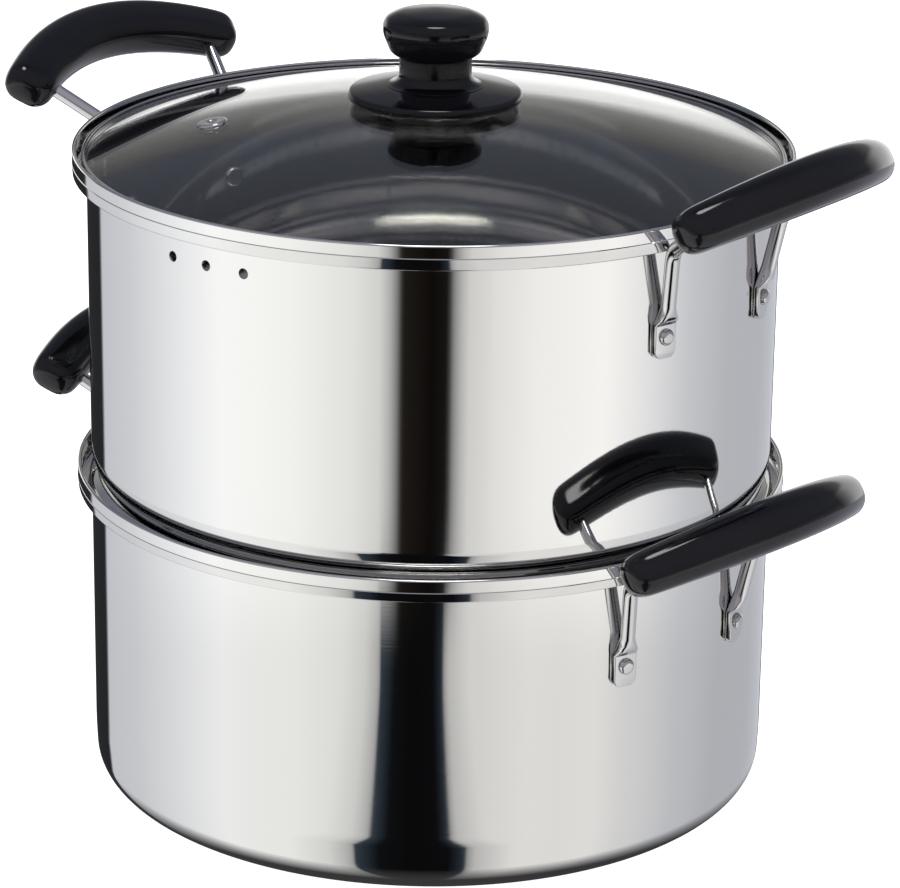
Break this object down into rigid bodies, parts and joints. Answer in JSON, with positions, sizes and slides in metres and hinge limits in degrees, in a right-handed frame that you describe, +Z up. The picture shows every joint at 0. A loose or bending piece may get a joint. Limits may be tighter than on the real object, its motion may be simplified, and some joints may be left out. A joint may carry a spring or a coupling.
{
  "type": "two-tier steamer pot",
  "caption": "Stove-top steamer of stacked polished steel pots, the upper one with a pierced base, with bowed black grips on riveted wire and a domed glass lid with a knob.",
  "frame": {"origin": "on the surface that the pot stands on, under the middle of the lower pot", "axes": "+Z up along both pots and the lid; +X through the lower pair of handles; +Y across them"},
  "size_m": [0.3646, 0.274, 0.3066],
  "materials": {
    "polished_stainless": "mirror polished sheet with fine lines round it",
    "bright_wire": "polished round wire with pressed flat ends",
    "bright_rivet": "satin cold-headed stainless",
    "hoop_stainless": "bright rolled strip",
    "black_phenolic": "glossy compression-moulded black phenolic",
    "tempered_glass": "clear tempered glass",
    "turned_brass": "turned brass",
    "silicone": "translucent white silicone, matt"
  },
  "bodies": {
    "lower_pot": {"lower_pot_body": "polished_stainless", "lower_right_handle_wire": "bright_wire", "lower_right_grip": "black_phenolic", "lower_right_rivets": "bright_rivet", "lower_left_handle_wire": "bright_wire", "lower_left_grip": "black_phenolic", "lower_left_rivets": "bright_rivet"},
    "upper_pot": {"upper_pot_body": "polished_stainless", "upper_right_handle_wire": "bright_wire", "upper_right_grip": "black_phenolic", "upper_right_rivets": "bright_rivet", "upper_left_handle_wire": "bright_wire", "upper_left_grip": "black_phenolic", "upper_left_rivets": "bright_rivet"},
    "lid": {"lid_glass": "tempered_glass", "lid_hoop": "hoop_stainless", "vent_eyelet": "hoop_stainless", "knob": "black_phenolic", "knob_base": "black_phenolic", "knob_insert": "turned_brass", "knob_screw": "bright_rivet", "knob_washer": "hoop_stainless", "knob_upper_gasket": "silicone", "knob_lower_gasket": "silicone"}
  },
  "joints": [
    {"name": "upper_pot_lift", "type": "slide", "parent": "lower_pot", "child": "upper_pot", "axis": [0, 0, 1], "range_m": [0, 0.15]},
    {"name": "lid_lift", "type": "slide", "parent": "upper_pot", "child": "lid", "axis": [0, 0, 1], "range_m": [0, 0.12]}
  ]
}
